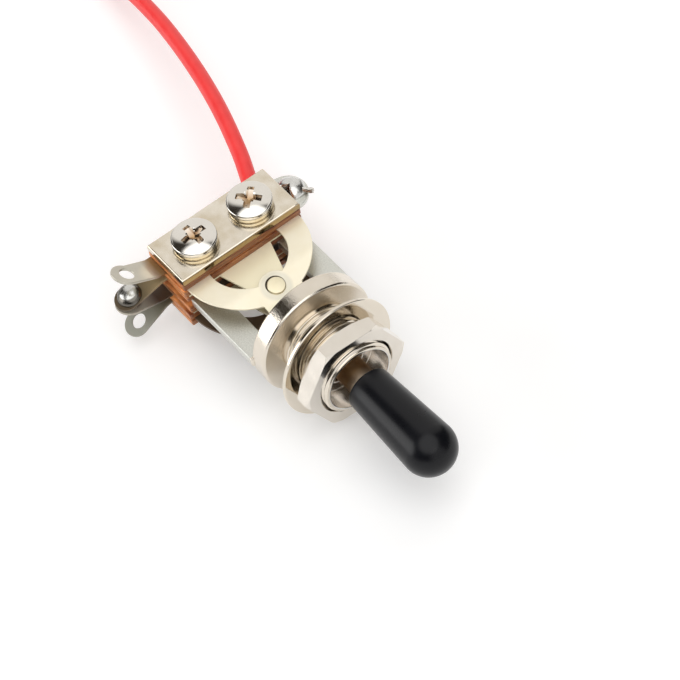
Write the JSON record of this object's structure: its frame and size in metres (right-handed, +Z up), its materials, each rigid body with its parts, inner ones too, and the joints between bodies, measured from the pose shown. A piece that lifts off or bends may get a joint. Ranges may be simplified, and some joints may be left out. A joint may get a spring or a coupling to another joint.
{
  "type": "guitar pickup selector switch",
  "caption": "Three-position lever switch with a threaded bushing, cast frame, clamped stack of spring leaves and insulators, solder lugs, black lever tip and red earth lead.",
  "frame": {"origin": "on the bushing's axis, in the plane of the flange's front face, which seats on the panel", "axes": "+X out along the lever, +Y along the contact stack towards the earth ear, +Z up through the stack; the switch lies on its side as it rests on a bench"},
  "size_m": [0.1442, 0.0403, 0.0195],
  "materials": {
    "nickel_zinc": "nickel plate on a zinc die casting, bright on the turned faces and frosty on the rails",
    "nickel_steel": "bright nickel plate",
    "plain_steel": "bright drawn steel",
    "plated_bronze": "rolled spring bronze with a thin pale plate",
    "contact_silver": "silver contact rivet",
    "phenolic": "paper-filled phenolic sheet with sawn edges",
    "nylon": "natural nylon",
    "black_plastic": "satin moulded plastic",
    "solder": "bright tin solder",
    "tinned_copper": "tinned stranded wire",
    "red_vinyl": "soft extruded vinyl"
  },
  "bodies": {
    "frame": {"cast_frame": "nickel_zinc", "pivot_pin": "plain_steel", "panel_washer": "nickel_steel", "hex_nut": "nickel_steel", "insulator_1": "phenolic", "insulator_2": "phenolic", "insulator_3": "phenolic", "insulator_4": "phenolic", "insulator_5": "phenolic", "insulator_6": "phenolic", "upper_spring_leaf": "plated_bronze", "upper_blade": "plated_bronze", "upper_blade_contact": "contact_silver", "lower_blade": "plated_bronze", "lower_blade_contact": "contact_silver", "lower_spring_leaf": "plated_bronze", "screw_sleeves": "nylon", "clamp_plate": "nickel_steel", "nut_bar": "nickel_steel", "spring_washers": "plain_steel", "clamp_screws": "nickel_steel", "clamp_nuts": "plain_steel", "lug_solder": "solder", "ear_solder": "solder", "ear_wire": "tinned_copper", "red_lead": "red_vinyl", "lead_end": "tinned_copper"},
    "lever": {"lever": "nickel_steel", "lever_bead": "nylon", "lever_tip": "black_plastic"},
    "upper_contact": {"upper_spring_contact": "contact_silver"},
    "lower_contact": {"lower_spring_contact": "contact_silver"}
  },
  "joints": [
    {"name": "lever", "type": "hinge", "parent": "frame", "child": "lever", "pos_m": [0.002, 0, 0], "axis": [0, 1, 0], "range_deg": [-12, 12], "deforming": ["upper_spring_leaf", "lower_spring_leaf"]},
    {"name": "upper_contact", "type": "hinge", "parent": "frame", "child": "upper_contact", "pos_m": [-0.016, 0, 0.0034], "axis": [0, -1, 0], "range_deg": [0, 8], "stiffness_Nm_per_rad": 0.02, "springref_deg": -2.86, "deforming": ["upper_spring_leaf"]},
    {"name": "lower_contact", "type": "hinge", "parent": "frame", "child": "lower_contact", "pos_m": [-0.016, 0, -0.0034], "axis": [0, -1, 0], "range_deg": [-8, 0], "stiffness_Nm_per_rad": 0.02, "springref_deg": 2.86, "deforming": ["lower_spring_leaf"]}
  ]
}
